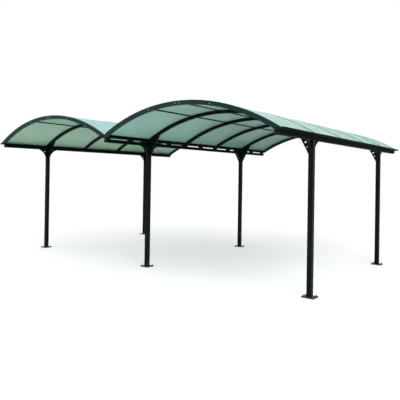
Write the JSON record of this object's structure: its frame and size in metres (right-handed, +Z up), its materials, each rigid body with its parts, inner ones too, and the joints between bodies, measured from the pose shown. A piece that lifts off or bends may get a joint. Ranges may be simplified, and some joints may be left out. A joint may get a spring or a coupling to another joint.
{
  "type": "double carport",
  "caption": "Open carport with paired curved roof vaults: translucent sheets on arched bars, gutters along the eaves and valley, and square posts on bolted foot plates.",
  "frame": {"origin": "on the ground in the middle of the carport", "axes": "+X across the vaults to the right, +Y from the front to the back, +Z up"},
  "size_m": [5.886, 4.954, 2.518],
  "materials": {
    "frame_paint": "satin",
    "bracket_paint": "satin",
    "plate_paint": "satin",
    "cap_plastic": "matte",
    "roof_sheet": "glossy"
  },
  "bodies": {
    "root": {"back_left_post": "frame_paint", "back_middle_post": "frame_paint", "back_right_post": "frame_paint", "crown_purlins": "frame_paint", "end_caps": "cap_plastic", "foot_plates": "plate_paint", "front_left_post": "frame_paint", "front_middle_post": "frame_paint", "front_right_post": "frame_paint", "left_arch_1": "frame_paint", "left_arch_2": "frame_paint", "left_arch_3": "frame_paint", "left_arch_4": "frame_paint", "left_back_arch": "frame_paint", "left_brackets": "bracket_paint", "left_eave_beam": "frame_paint", "left_front_arch": "frame_paint", "left_gutter": "frame_paint", "left_inner_purlin": "frame_paint", "left_outer_purlin": "frame_paint", "left_roof_sheet_1": "roof_sheet", "left_roof_sheet_2": "roof_sheet", "left_roof_sheet_3": "roof_sheet", "left_roof_sheet_4": "roof_sheet", "left_roof_sheet_5": "roof_sheet", "middle_brackets": "bracket_paint", "right_arch_1": "frame_paint", "right_arch_2": "frame_paint", "right_arch_3": "frame_paint", "right_arch_4": "frame_paint", "right_back_arch": "frame_paint", "right_brackets": "bracket_paint", "right_eave_beam": "frame_paint", "right_front_arch": "frame_paint", "right_gutter": "frame_paint", "right_inner_purlin": "frame_paint", "right_outer_purlin": "frame_paint", "right_roof_sheet_1": "roof_sheet", "right_roof_sheet_2": "roof_sheet", "right_roof_sheet_3": "roof_sheet", "right_roof_sheet_4": "roof_sheet", "right_roof_sheet_5": "roof_sheet", "valley_beam": "frame_paint", "valley_gutter": "frame_paint", "valley_spacers": "cap_plastic"}
  },
  "joints": []
}
